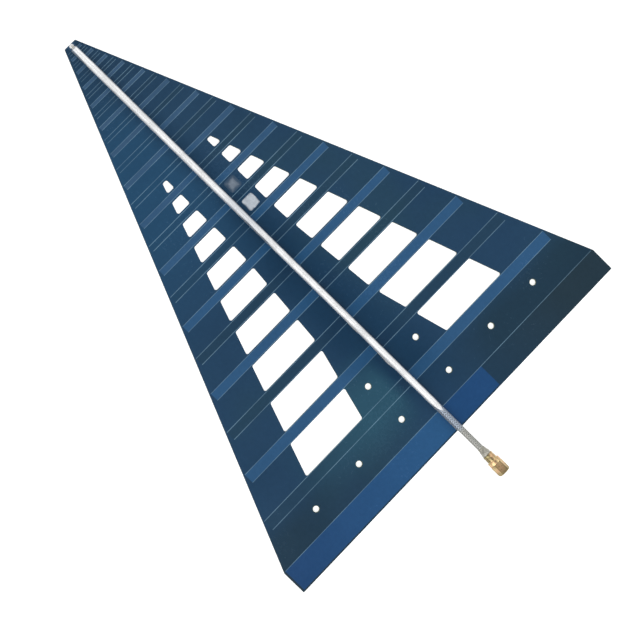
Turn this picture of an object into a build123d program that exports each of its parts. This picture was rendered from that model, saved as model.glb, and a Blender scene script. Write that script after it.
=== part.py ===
"""Printed log periodic antenna with a soldered coaxial cable and a screw-on coaxial plug.

Millimetres. The board lies flat, +Z up on the cable's side, +X along the centre strip
towards the plug, +Y across. The origin is the centre of the four inner mounting holes,
on the plane of the board's underside.
"""

from build123d import *
import math
import os

os.makedirs("parts", exist_ok=True)

# Board
board_length = 349.0  # tip edge to rear edge
board_width = 290.0  # across the square-ended rear strip
rear_strip_length = 17.2  # stretch of the board whose ends are parallel to the axis
tip_width = 9.3
laminate_thickness = 1.6
copper_thickness = 0.07
mask_thickness = 0.03

# Mounting holes
hole_diameter = 4.1
hole_row_pitch = 30.25  # between the front pair and the rear row
hole_inner_spacing = 44.4  # across the four inner holes
hole_outer_step = 39.7  # from one hole of the rear row to the next further out
rear_row_inset = 31.2  # rear row to the rear edge

# Half dipoles
element_spacing_ratio = 0.9108  # each element's distance to the point where they converge
convergence_margin = 31.2  # that point, ahead of the tip edge
element_tip_margin = 2.5  # no element's front edge is nearer to the tip edge
second_front_distance = 49.6  # second element's front edge, ahead of the rear edge
rear_band_length = 17.9  # the longest element fills the rear strip
rear_stub_reach = 38.5  # short arm of the rear band on its other side, from the axis
large_element_width = 7.6  # at the second element
small_element_width = 1.5  # at the tip
element_end_margin = 1.1  # from an element's outer end to the board's side
edge_margin = 1.0  # copper to the rear edge and to the ends of the rear strip
boom_width = 5.0
boom_tip_margin = 3.3  # upper strip's end to the tip edge
mask_slot_width = 4.4  # bare stretch of the upper strip under the cable
mask_hole_margin = 0.2

# Windows between the elements
window_count = 10
first_window_element = 2  # the rearmost window lies ahead of this element
large_window_gap = 0.2  # copper edge to window, at the largest window
small_window_gap = 1.2  # the same, at the smallest
window_corner_radius = 1.2
window_inner_straight = 18.3  # inner edge from the axis, as far as the first knee
window_knee_distance = 178.0  # first knee of the inner edge, ahead of the rear edge
window_second_knee_distance = 104.0
window_inner_second = 25.0  # inner edge at the second knee
window_inner_rear = 39.4  # inner edge at the rearmost window's rear end
window_outer_front = 21.8  # outer edge at the smallest window's front end
window_outer_rear = 91.2  # outer edge at the rearmost window's rear end

# Blank patches of print beside the cable
patch_length = 9.0
patch_width = 9.2
patch_corner_radius = 1.8
patch_offset = 9.6  # centre to the axis
patch_thickness = 0.02
patch_elements = (8, 9)  # a patch lies in the middle of the gap ahead of each of these

# Cable
cable_diameter = 4.2
dielectric_diameter = 2.98
core_diameter = 0.92
braid_tip_margin = 3.9  # braid's end to the tip edge
dielectric_strip = 0.6  # dielectric beyond the braid's end
core_bend_radius = 1.2

# Feed point at the tip
feed_inset = 1.6  # core's hole to the tip edge
feed_hole_diameter = 1.5
eyelet_wall = 0.12
feed_pad_diameter = 2.7
feed_top_height = 1.9
feed_bottom_height = 0.3
feed_bottom_slope = 0.5  # at the rim of the lower spot
core_end_cover = 0.12  # solder below the core's cut end

# Solder along the centre strip
solder_coat = 0.12
solder_film = 0.06  # between the cable and the strip
solder_end_margin = 16.0  # point of the solder to the rear edge
solder_taper_length = 9.0
solder_start_margin = 0.4  # solder behind the braid's end

# Plug, lengths along the axis from the rear edge of the board
plug_rear = 24.1
plug_collar_length = 7.5
plug_collar_even_length = 4.1  # slender stretch behind the swelling
plug_collar_swell_length = 2.3
plug_collar_rear_diameter = 4.8
plug_collar_diameter = 6.2
barrel_diameter = 7.0
barrel_length = 5.25
barrel_chamfer = 0.4
flange_diameter = 8.8
flange_length = 2.75
flange_chamfer = 0.35
bearing_diameter = 5.5
bearing_length = 2.9
front_tube_diameter = 4.6
front_tube_length = 2.7
front_tube_wall = 0.27
braid_seat_depth = 6.2
insulator_length = 4.3
insulator_clearance = 0.02
insulator_recess = 0.15
ring_groove_diameter = 4.6
ring_groove_length = 0.6
ring_groove_offset = 2.0  # flange to groove

# Coupling nut and the pieces inside it
nut_across_flats = 8.0
nut_length = 8.0
nut_gap = 0.2  # flange to nut
nut_chamfer = 0.45
nut_running_clearance = 0.05
nut_lip_length = 1.5
nut_chamber_diameter = 7.0
nut_chamber_length = 1.35
thread_bore_diameter = 5.7
thread_mouth_chamfer = 0.35
ring_outer_diameter = 6.4
ring_clearance = 0.05
ring_opening_angle = 35.0
gasket_thickness = 0.9
gasket_clearance = 0.25  # to the thread's bore
contact_diameter = 1.27
contact_socket_depth = 2.0
contact_socket_clearance = 0.01
contact_overlap = 0.6  # contact behind the insulator
pin_diameter = 0.92
pin_length = 2.1
pin_nose_length = 0.3
pin_nose_diameter = 0.46

# Places that follow from the sizes
rear_edge = hole_row_pitch / 2 + rear_row_inset
tip_edge = rear_edge - board_length
strip_front = rear_edge - rear_strip_length
side_slope = (board_width - tip_width) / 2 / (strip_front - tip_edge)
laminate_bottom = copper_thickness + mask_thickness
laminate_top = laminate_bottom + laminate_thickness
copper_top = laminate_top + copper_thickness
cable_radius = cable_diameter / 2
dielectric_radius = dielectric_diameter / 2
core_radius = core_diameter / 2
axis_rise = solder_film + cable_radius
axis_height = copper_top + axis_rise
convergence = tip_edge - convergence_margin
second_front = rear_edge - second_front_distance
smallest_share = (convergence_margin + element_tip_margin) / (second_front - convergence)
element_count = 2 + math.floor(math.log(smallest_share) / math.log(element_spacing_ratio))
braid_front = tip_edge + braid_tip_margin
feed_x = tip_edge + feed_inset


def element_width(x):
    """Width of a half dipole whose front edge is at x."""
    share = (x - tip_edge) / (second_front - tip_edge)
    return small_element_width + share * (large_element_width - small_element_width)


def half_width(x):
    """Half the board's width at x."""
    return min(tip_width / 2 + side_slope * (x - tip_edge), board_width / 2)


def element_span(number):
    """Front and rear edge of an element, counted from 1 at the rear."""
    if number == 1:
        return rear_edge - rear_band_length, rear_edge - edge_margin
    reach = (second_front - convergence) * element_spacing_ratio ** (number - 2)
    front = convergence + reach
    return front, front + element_width(front)


def element_reach(number):
    """Outer end of an element, from the axis."""
    if number == 1:
        return board_width / 2 - edge_margin
    return half_width(element_span(number)[0]) - element_end_margin


def window_gap(x):
    """Distance kept between a window and the copper beside it."""
    small_x = element_span(first_window_element + window_count)[1]
    share = (x - small_x) / (second_front - small_x)
    return small_window_gap + share * (large_window_gap - small_window_gap)


def window_span(number):
    """Front and rear edge of a window, counted from 1 at the rear."""
    element = first_window_element + number - 1
    rear = element_span(element)[0]
    front = element_span(element + 1)[1]
    return front + window_gap(front), rear - window_gap(rear)


last_window_rear = window_span(1)[1]
first_window_front = window_span(window_count)[0]
first_knee = rear_edge - window_knee_distance
second_knee = rear_edge - window_second_knee_distance


def blend(x, x0, y0, x1, y1):
    """Value at x on the straight line through two points."""
    return y0 + (y1 - y0) * (x - x0) / (x1 - x0)


def window_inner(x):
    """Inner edge of the windows at x, from the axis."""
    if x < first_knee:
        return window_inner_straight
    if x < second_knee:
        return blend(x, first_knee, window_inner_straight, second_knee, window_inner_second)
    return blend(x, second_knee, window_inner_second, last_window_rear, window_inner_rear)


def window_outer(x):
    """Outer edge of the windows at x, from the axis."""
    return blend(x, first_window_front, window_outer_front, last_window_rear, window_outer_rear)


row_distance = hole_row_pitch / 2
inner_offset = hole_inner_spacing / 2
rear_offsets = [inner_offset + step * hole_outer_step for step in range(3)]
hole_places = [(-row_distance, side * inner_offset) for side in (-1, 1)]
hole_places += [(row_distance, side * offset) for side in (-1, 1) for offset in rear_offsets]


def board_sheet(hole_size):
    """Flat outline of the board with its windows and holes."""
    with BuildSketch() as sheet:
        with BuildLine():
            Polyline(
                (tip_edge, -tip_width / 2),
                (strip_front, -board_width / 2),
                (rear_edge, -board_width / 2),
                (rear_edge, board_width / 2),
                (strip_front, board_width / 2),
                (tip_edge, tip_width / 2),
                close=True,
            )
        make_face()
        with Locations(hole_places):
            Circle(hole_size / 2, mode=Mode.SUBTRACT)
        add(window_shapes(), mode=Mode.SUBTRACT)
    return sheet.sketch


def window_shapes():
    """All the windows, with rounded corners, on both sides of the axis."""
    with BuildSketch() as windows:
        for number in range(1, window_count + 1):
            front, rear = window_span(number)
            for side in (-1, 1):
                with BuildLine():
                    Polyline(
                        (front, side * window_inner(front)),
                        (rear, side * window_inner(rear)),
                        (rear, side * window_outer(rear)),
                        (front, side * window_outer(front)),
                        close=True,
                    )
                make_face()
        fillet(windows.vertices(), window_corner_radius)
    return windows.sketch


def etched_shape(first_side, strip_start, grow=0.0):
    """Centre strip and half dipoles of one face; first_side is where the longest one lies."""
    with BuildSketch() as shape:
        strip_end = rear_edge - edge_margin + grow
        strip_length = strip_end - strip_start + grow
        with Locations((strip_end - strip_length / 2, 0)):
            Rectangle(strip_length, boom_width + 2 * grow)
        for number in range(1, element_count + 1):
            side = first_side if number % 2 else -first_side
            front, rear = element_span(number)
            reach = element_reach(number) + grow
            with Locations(((front + rear) / 2, side * reach / 2)):
                Rectangle(rear - front + 2 * grow, reach)
        front, rear = element_span(1)
        reach = rear_stub_reach + grow
        with Locations(((front + rear) / 2, -first_side * reach / 2)):
            Rectangle(rear - front + 2 * grow, reach)
    return shape.sketch


# Laminate
with BuildPart() as laminate:
    with BuildSketch(Plane.XY.offset(laminate_bottom)):
        add(board_sheet(hole_diameter))
        with Locations((feed_x, 0)):
            Circle(feed_hole_diameter / 2, mode=Mode.SUBTRACT)
    extrude(amount=laminate_thickness)
laminate.part.label = "laminate"

# Copper of the upper face: the longest half dipole lies at -Y
with BuildPart() as top_copper:
    with BuildSketch(Plane.XY.offset(laminate_top)):
        add(etched_shape(-1, tip_edge + boom_tip_margin))
    extrude(amount=copper_thickness)
top_copper.part.label = "top_copper"

# Copper of the lower face: its strip runs on to the feed hole
with BuildPart() as bottom_copper:
    with BuildSketch(Plane.XY.offset(mask_thickness)):
        add(etched_shape(1, feed_x))
        with Locations((feed_x, 0)):
            Circle(feed_pad_diameter / 2)
            Circle(feed_hole_diameter / 2, mode=Mode.SUBTRACT)
    extrude(amount=copper_thickness)
bottom_copper.part.label = "bottom_copper"

# Lacquer film of the upper face: it follows the copper and leaves the centre strip bare
slot_front = braid_front - solder_start_margin
with BuildPart() as top_solder_mask:
    with BuildSketch(Plane.XY.offset(laminate_top)):
        add(board_sheet(hole_diameter + 2 * mask_hole_margin))
    extrude(amount=mask_thickness)
    with BuildSketch(Plane.XY.offset(laminate_top)):
        add(etched_shape(-1, tip_edge + boom_tip_margin, grow=mask_thickness))
    extrude(amount=copper_thickness + mask_thickness)
    add(top_copper.part, mode=Mode.SUBTRACT)
    with BuildSketch(Plane.XY.offset(laminate_top)):
        with Locations(((slot_front + rear_edge) / 2, 0)):
            Rectangle(rear_edge - slot_front, mask_slot_width)
        with Locations((feed_x, 0)):
            Circle(feed_pad_diameter / 2)
    extrude(amount=copper_thickness + 2 * mask_thickness, mode=Mode.SUBTRACT)
top_solder_mask.part.label = "top_solder_mask"

# Lacquer film of the lower face
with BuildPart() as bottom_solder_mask:
    with BuildSketch(Plane.XY.offset(copper_thickness)):
        add(board_sheet(hole_diameter + 2 * mask_hole_margin))
    extrude(amount=mask_thickness)
    with BuildSketch(Plane.XY):
        add(etched_shape(1, feed_x, grow=mask_thickness))
        with Locations((feed_x, 0)):
            Circle(feed_pad_diameter / 2 + mask_thickness)
    extrude(amount=copper_thickness + mask_thickness)
    add(bottom_copper.part, mode=Mode.SUBTRACT)
    with BuildSketch(Plane.XY):
        with Locations((feed_x, 0)):
            Circle(feed_pad_diameter / 2)
    extrude(amount=copper_thickness + mask_thickness, mode=Mode.SUBTRACT)
bottom_solder_mask.part.label = "bottom_solder_mask"

# Two blank patches of pale ink
patch_places = [
    ((element_span(number)[0] + element_span(number + 1)[1]) / 2, patch_offset)
    for number in patch_elements
]
with BuildPart() as print_ink:
    with BuildSketch(Plane.XY.offset(laminate_top + mask_thickness)):
        with Locations(patch_places):
            RectangleRounded(patch_length, patch_width, patch_corner_radius)
    extrude(amount=patch_thickness)
print_ink.part.label = "print_ink"

# Plated barrel and upper pad of the feed hole
with BuildPart() as feed_eyelet:
    with BuildSketch(Plane.XY.offset(laminate_top)):
        with Locations((feed_x, 0)):
            Circle(feed_pad_diameter / 2)
    extrude(amount=copper_thickness)
    with BuildSketch(Plane.XY.offset(mask_thickness)):
        with Locations((feed_x, 0)):
            Circle(feed_hole_diameter / 2)
    extrude(amount=copper_top - mask_thickness)
    with BuildSketch(Plane.XY.offset(mask_thickness)):
        with Locations((feed_x, 0)):
            Circle(feed_hole_diameter / 2 - eyelet_wall)
    extrude(amount=copper_top - mask_thickness, mode=Mode.SUBTRACT)
feed_eyelet.part.label = "feed_eyelet"

# Places along the plug
collar_start = rear_edge + plug_rear - plug_collar_length
body_rear = rear_edge + plug_rear
flange_rear = body_rear + barrel_length
flange_front = flange_rear + flange_length
shoulder = flange_front + bearing_length
tube_front = shoulder + front_tube_length
braid_rear = body_rear + braid_seat_depth
chamber_front = tube_front - insulator_recess
insulator_rear = chamber_front - insulator_length
contact_rear = insulator_rear - contact_overlap
dielectric_rear = contact_rear - contact_overlap
nut_rear = flange_front + nut_gap
nut_front = nut_rear + nut_length

cable_axis = Axis((0, 0, axis_height), (1, 0, 0))
profile_plane = Plane(origin=(0, 0, axis_height), x_dir=(1, 0, 0), z_dir=(0, -1, 0))


def cross_plane(x):
    """Plane across the cable at x, facing the plug."""
    return Plane(origin=(x, 0, axis_height), x_dir=(0, 1, 0), z_dir=(1, 0, 0))


def turned(*points):
    """Sketch of a turned profile, as places along the cable's axis and radii."""
    with BuildSketch(profile_plane) as profile:
        with BuildLine():
            Polyline(*points, close=True)
        make_face()
    return profile.sketch


# Cable: braid, dielectric and core
with BuildPart() as cable_braid:
    with BuildSketch(cross_plane(braid_front)):
        Circle(cable_radius)
        Circle(dielectric_radius, mode=Mode.SUBTRACT)
    extrude(amount=braid_rear - braid_front)
cable_braid.part.label = "cable_braid"

dielectric_front = braid_front - dielectric_strip
with BuildPart() as cable_dielectric:
    with BuildSketch(cross_plane(dielectric_front)):
        Circle(dielectric_radius)
        Circle(core_radius, mode=Mode.SUBTRACT)
    extrude(amount=dielectric_rear - dielectric_front)
cable_dielectric.part.label = "cable_dielectric"

core_rear = contact_rear + contact_socket_depth
core_low = mask_thickness - feed_bottom_height + core_end_cover
with BuildPart() as cable_core:
    with BuildLine():
        FilletPolyline(
            (core_rear, 0, axis_height),
            (feed_x, 0, axis_height),
            (feed_x, 0, core_low),
            radius=core_bend_radius,
        )
    with BuildSketch(Plane(origin=(core_rear, 0, axis_height), z_dir=(-1, 0, 0))):
        Circle(core_radius)
    sweep()
cable_core.part.label = "cable_core"

# Solder over and beside the cable along the board, ending in a point
solder_front = braid_front + solder_start_margin
solder_point = rear_edge - solder_end_margin
solder_full = solder_point - solder_taper_length
solder_radius = cable_radius + solder_coat
with BuildPart() as boom_solder:
    with BuildSketch(cross_plane(solder_front)):
        Circle(solder_radius)
        with Locations((0, -axis_rise / 2)):
            Rectangle(mask_slot_width, axis_rise)
        Circle(cable_radius, mode=Mode.SUBTRACT)
    extrude(amount=solder_point - solder_front)
    split(bisect_by=Plane.XY.offset(copper_top), keep=Keep.TOP)
    with BuildSketch(Plane.XY.offset(copper_top)):
        for side in (-1, 1):
            with BuildLine():
                Polyline(
                    (solder_full, side * (solder_radius + solder_coat)),
                    (solder_full, side * solder_radius),
                    (solder_point, 0),
                    (solder_point + solder_coat, 0),
                    (solder_point + solder_coat, side * (solder_radius + solder_coat)),
                    close=True,
                )
            make_face()
    extrude(amount=axis_rise + solder_radius, mode=Mode.SUBTRACT)
boom_solder.part.label = "boom_solder"

# Solder spots of the feed point
feed_axis = Axis((feed_x, 0, 0), (0, 0, 1))
feed_plane = Plane(origin=(feed_x, 0, 0), x_dir=(1, 0, 0), z_dir=(0, -1, 0))
feed_radius = feed_pad_diameter / 2
with BuildPart() as feed_solder_top:
    with BuildSketch(feed_plane):
        with BuildLine():
            ThreePointArc(
                (feed_radius, copper_top),
                (feed_radius * math.cos(math.pi / 4), copper_top + feed_top_height * math.sin(math.pi / 4)),
                (0, copper_top + feed_top_height),
            )
            Polyline((0, copper_top + feed_top_height), (0, copper_top), (feed_radius, copper_top))
        make_face()
    revolve(axis=feed_axis)
    add(cable_core.part, mode=Mode.SUBTRACT)
feed_solder_top.part.label = "feed_solder_top"

with BuildPart() as feed_solder_bottom:
    with BuildSketch(feed_plane):
        with BuildLine():
            Spline(
                (feed_radius, mask_thickness),
                (0, mask_thickness - feed_bottom_height),
                tangents=[(-1, -feed_bottom_slope), (-1, 0)],
            )
            Polyline(
                (0, mask_thickness - feed_bottom_height),
                (0, mask_thickness),
                (feed_radius, mask_thickness),
            )
        make_face()
    revolve(axis=feed_axis)
    add(cable_core.part, mode=Mode.SUBTRACT)
feed_solder_bottom.part.label = "feed_solder_bottom"

# Solder collar between braid and plug
collar_swell = collar_start + plug_collar_even_length
collar_full = collar_swell + plug_collar_swell_length
with BuildPart() as plug_solder:
    add(
        turned(
            (collar_start, cable_radius),
            (collar_start, plug_collar_rear_diameter / 2),
            (collar_swell, plug_collar_rear_diameter / 2 + solder_coat),
            (collar_full, plug_collar_diameter / 2),
            (body_rear, plug_collar_diameter / 2),
            (body_rear, cable_radius),
        )
    )
    revolve(axis=cable_axis)
plug_solder.part.label = "plug_solder"

# Turned body of the plug
tube_radius = front_tube_diameter / 2
chamber_radius = tube_radius - front_tube_wall
groove_rear = flange_front + ring_groove_offset
groove_front = groove_rear + ring_groove_length
with BuildPart() as plug_body:
    add(
        turned(
            (body_rear, cable_radius),
            (body_rear, barrel_diameter / 2 - barrel_chamfer),
            (body_rear + barrel_chamfer, barrel_diameter / 2),
            (flange_rear, barrel_diameter / 2),
            (flange_rear, flange_diameter / 2 - flange_chamfer),
            (flange_rear + flange_chamfer, flange_diameter / 2),
            (flange_front - flange_chamfer, flange_diameter / 2),
            (flange_front, flange_diameter / 2 - flange_chamfer),
            (flange_front, bearing_diameter / 2),
            (groove_rear, bearing_diameter / 2),
            (groove_rear, ring_groove_diameter / 2),
            (groove_front, ring_groove_diameter / 2),
            (groove_front, bearing_diameter / 2),
            (shoulder, bearing_diameter / 2),
            (shoulder, tube_radius),
            (tube_front, tube_radius),
            (tube_front, chamber_radius),
            (insulator_rear, chamber_radius),
            (insulator_rear, dielectric_radius),
            (braid_rear, dielectric_radius),
            (braid_rear, cable_radius),
        )
    )
    revolve(axis=cable_axis)
plug_body.part.label = "plug_body"

# Split ring in the body's groove
ring_inner = ring_groove_diameter / 2 + ring_clearance
with BuildPart() as plug_snap_ring:
    add(
        turned(
            (groove_rear + ring_clearance, ring_inner),
            (groove_rear + ring_clearance, ring_outer_diameter / 2),
            (groove_front - ring_clearance, ring_outer_diameter / 2),
            (groove_front - ring_clearance, ring_inner),
        )
    )
    revolve(axis=cable_axis, revolution_arc=360 - ring_opening_angle)
plug_snap_ring.part.label = "plug_snap_ring"

# Insulating bead, centre contact and gasket
contact_radius = contact_diameter / 2
with BuildPart() as plug_insulator:
    add(
        turned(
            (insulator_rear, contact_radius),
            (insulator_rear, chamber_radius - insulator_clearance),
            (chamber_front, chamber_radius - insulator_clearance),
            (chamber_front, contact_radius),
        )
    )
    revolve(axis=cable_axis)
plug_insulator.part.label = "plug_insulator"

pin_radius = pin_diameter / 2
socket_radius = core_radius + contact_socket_clearance
with BuildPart() as plug_contact:
    add(
        turned(
            (contact_rear, socket_radius),
            (contact_rear, contact_radius),
            (chamber_front, contact_radius),
            (chamber_front, pin_radius),
            (tube_front + pin_length - pin_nose_length, pin_radius),
            (tube_front + pin_length, pin_nose_diameter / 2),
            (tube_front + pin_length, 0),
            (core_rear, 0),
            (core_rear, socket_radius),
        )
    )
    revolve(axis=cable_axis)
plug_contact.part.label = "plug_contact"

gasket_outer = (thread_bore_diameter / 2) - gasket_clearance
with BuildPart() as plug_gasket:
    add(
        turned(
            (shoulder, tube_radius),
            (shoulder, gasket_outer),
            (shoulder + gasket_thickness, gasket_outer),
            (shoulder + gasket_thickness, tube_radius),
        )
    )
    revolve(axis=cable_axis)
plug_gasket.part.label = "plug_gasket"

# Coupling nut: hexagon with turned chamfers, bearing lip, ring chamber and threaded bore
nut_corner = nut_across_flats / 2 / math.cos(math.pi / 6)
nut_bearing = bearing_diameter / 2 + nut_running_clearance
chamber_rear = nut_rear + nut_lip_length
chamber_end = chamber_rear + nut_chamber_length
thread_radius = thread_bore_diameter / 2
with BuildPart() as coupling_nut:
    with BuildSketch(cross_plane(nut_rear)):
        RegularPolygon(nut_across_flats / 2, 6, major_radius=False, rotation=0)
    extrude(amount=nut_length)
    add(
        revolve(
            turned(
                (nut_rear, 0),
                (nut_rear, nut_corner - nut_chamfer),
                (nut_rear + nut_chamfer / 2, nut_corner),
                (nut_front - nut_chamfer, nut_corner),
                (nut_front, nut_corner - 2 * nut_chamfer),
                (nut_front, 0),
            ),
            axis=cable_axis,
            mode=Mode.PRIVATE,
        ),
        mode=Mode.INTERSECT,
    )
    add(
        revolve(
            turned(
                (nut_rear, 0),
                (nut_rear, nut_bearing),
                (chamber_rear, nut_bearing),
                (chamber_rear, nut_chamber_diameter / 2),
                (chamber_end, nut_chamber_diameter / 2),
                (chamber_end, thread_radius),
                (nut_front - thread_mouth_chamfer, thread_radius),
                (nut_front, thread_radius + thread_mouth_chamfer),
                (nut_front, 0),
            ),
            axis=cable_axis,
            mode=Mode.PRIVATE,
        ),
        mode=Mode.SUBTRACT,
    )
coupling_nut.part.label = "coupling_nut"

for piece in (
    laminate,
    top_copper,
    bottom_copper,
    top_solder_mask,
    bottom_solder_mask,
    print_ink,
    feed_eyelet,
    cable_braid,
    cable_dielectric,
    cable_core,
    boom_solder,
    feed_solder_top,
    feed_solder_bottom,
    plug_solder,
    plug_body,
    plug_snap_ring,
    plug_insulator,
    plug_contact,
    plug_gasket,
    coupling_nut,
):
    export_step(piece.part, f"parts/{piece.part.label}.step")

print("rear edge", round(rear_edge, 3), "tip edge", round(tip_edge, 3), "elements", element_count)
print("cable axis height", round(axis_height, 3))
print("nut", round(nut_rear, 3), round(nut_front, 3), "pin end", round(tube_front + pin_length, 3))
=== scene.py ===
"""Looks of a printed log periodic antenna with a soldered coaxial cable and a screw-on plug.

Metres, in the part's own frame: the board lies flat with the cable's side up along +Z, +X runs
along the centre strip to the plug, and +Y runs across the board.
"""

from __future__ import annotations

import logging
import math
from collections.abc import Callable
from dataclasses import dataclass, field, replace
from enum import Enum
from functools import partial, partialmethod

import bmesh
import bpy
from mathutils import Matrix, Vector, noise

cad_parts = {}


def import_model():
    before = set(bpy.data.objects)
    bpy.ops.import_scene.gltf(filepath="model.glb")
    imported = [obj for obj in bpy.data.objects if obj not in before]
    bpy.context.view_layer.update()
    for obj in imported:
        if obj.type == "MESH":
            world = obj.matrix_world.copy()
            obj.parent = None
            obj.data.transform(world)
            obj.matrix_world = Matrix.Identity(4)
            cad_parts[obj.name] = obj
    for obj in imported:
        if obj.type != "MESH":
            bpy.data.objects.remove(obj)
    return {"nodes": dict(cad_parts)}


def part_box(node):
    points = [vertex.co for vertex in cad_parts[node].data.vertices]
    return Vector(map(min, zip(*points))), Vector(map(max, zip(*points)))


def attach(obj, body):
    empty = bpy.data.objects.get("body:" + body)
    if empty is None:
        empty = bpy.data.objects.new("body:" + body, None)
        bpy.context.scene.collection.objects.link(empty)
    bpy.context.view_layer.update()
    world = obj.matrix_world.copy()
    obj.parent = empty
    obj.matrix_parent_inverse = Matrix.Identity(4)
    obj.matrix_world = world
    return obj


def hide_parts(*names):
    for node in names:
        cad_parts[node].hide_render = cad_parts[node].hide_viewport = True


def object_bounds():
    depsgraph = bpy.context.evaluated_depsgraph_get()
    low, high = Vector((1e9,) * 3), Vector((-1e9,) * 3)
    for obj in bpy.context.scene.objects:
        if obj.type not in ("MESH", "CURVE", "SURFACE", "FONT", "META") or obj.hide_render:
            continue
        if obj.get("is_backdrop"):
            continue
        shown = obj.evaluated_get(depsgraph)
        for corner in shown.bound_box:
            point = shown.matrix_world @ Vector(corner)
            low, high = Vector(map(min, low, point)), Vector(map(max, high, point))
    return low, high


log = logging.getLogger("antenna")

MM = 0.001
FULL_TURN = 2 * math.pi
ABOUT_X = Vector((1, 0, 0))
MIX_FACTOR, MIX_FIRST, MIX_SECOND, MIX_RESULT = 0, 6, 7, 2
RAYS = ("Is Camera Ray", "Is Glossy Ray", "Is Transmission Ray")

Node = bpy.types.Node
Piece = bpy.types.Object
Socket = bpy.types.NodeSocket
Triple = tuple[float, float, float]
Quad = tuple[float, float, float, float]
Colour = Quad
Rows = tuple[Quad, ...]
Placer = Callable[[float, float], Vector]
Profile = list[tuple[float, float]]

WHITE: Colour = (1.0, 1.0, 1.0, 1.0)


def paint(*levels: int) -> Colour:
    """The linear colour that shaders take, from red, green and blue as a screen shows them, 0 to 255."""
    screen = [level / 255 for level in levels]
    return (*(c / 12.92 if c <= 0.04045 else ((c + 0.055) / 1.055) ** 2.4 for c in screen), 1.0)


def between(share: float, low: float, high: float) -> float:
    """Value that lies a share of the way from low to high."""
    return low + share * (high - low)


def eased(share: float) -> float:
    """Share from 0 to 1 with a soft start and end."""
    held = min(max(share, 0.0), 1.0)
    return held * held * (3 - 2 * held)


def there_and_back(share: float, split: float) -> float:
    """Rises from 0 to 1 as share goes from 0 to the split, and falls back to 0 from there to 1."""
    return share / split if share < split else (1 - share) / (1 - split)


def bell(at: float, middle: float, length: float) -> float:
    """Rises smoothly to 1 at the middle and is small half a length to each side."""
    return math.exp(-((at - middle) / (length / 2)) ** 2)


def lump(*place: float) -> float:
    """Smooth unevenness between about -1 and 1 at a place."""
    return noise.noise(Vector(place), noise_basis="PERLIN_ORIGINAL")


def ripples(waves: Rows, at: float, side: float) -> float:
    """Sum of lumps, each given by its size, its pace along and across, and its seed."""
    return sum(size * lump(at * along, side * across, seed) for size, along, across, seed in waves)


def around(x: float, radius: float, angle: float, height: float) -> Vector:
    """Point about an axis along X at a height; the angle counts from the top."""
    return Vector((x, radius * math.sin(angle), height + radius * math.cos(angle)))


class Face(Enum):
    """The two faces of the board."""

    UPPER = "upper"
    LOWER = "lower"


class Wiring:
    """Adds nodes to one node tree and joins them."""

    def __init__(self, tree: bpy.types.NodeTree) -> None:
        """Keeps the tree of a material, a world or a node group."""
        self.tree = tree

    def add(self, kind: str, values: dict[str | int, Wire] | None = None, **settings: object) -> Node:
        """Adds a node, sets its own properties and feeds it.

        Args:
            kind: Blender's name for the kind of node, without its ShaderNode prefix.
            values: What feeds its inputs, by their names or places.
            settings: Properties of the node, by name.

        Returns:
            The new node.
        """
        prefix = "" if kind.startswith("NodeGroup") else "ShaderNode"
        node = self.tree.nodes.new(prefix + kind)
        for name, value in settings.items():
            setattr(node, name, value)
        self.feed(node, values or {})
        return node

    def feed(self, node: Node, values: dict[str | int, Wire]) -> None:
        """Joins values to a node's inputs, or writes the plain ones on them.

        Args:
            node: The node.
            values: What feeds its inputs, by their names or places.
        """
        for key, value in values.items():
            if isinstance(value, Field):
                self.tree.links.new(value.socket, node.inputs[key])
            else:
                node.inputs[key].default_value = value

    def outputs(self, *order: object, **settings: object) -> list[Field]:
        """Every output of a new node, which is asked for as with add."""
        return [Field(self, socket) for socket in self.add(*order, **settings).outputs]

    def made(self, kind: str, values: dict[str | int, Wire], output: str | int = 0, **settings: object) -> Field:
        """One output of a new node, by its name or place."""
        return Field(self, self.add(kind, values, **settings).outputs[output])

    def maths(self, operation: str, *values: Wire) -> Field:
        """Result of a Math node fed by the values in order."""
        return self.made("Math", dict(enumerate(values)), operation=operation)

    def place(self) -> Field:
        """The shaded point in the part's own frame."""
        return self.made("TexCoord", {}, "Object")

    def rays(self) -> tuple[Field, Field]:
        """Masks of the camera's own rays and of the mirrored or refracted ones."""
        camera, glossy, clear = (self.made("LightPath", {}, ray) for ray in RAYS)
        return camera, glossy.most(clear)


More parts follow.
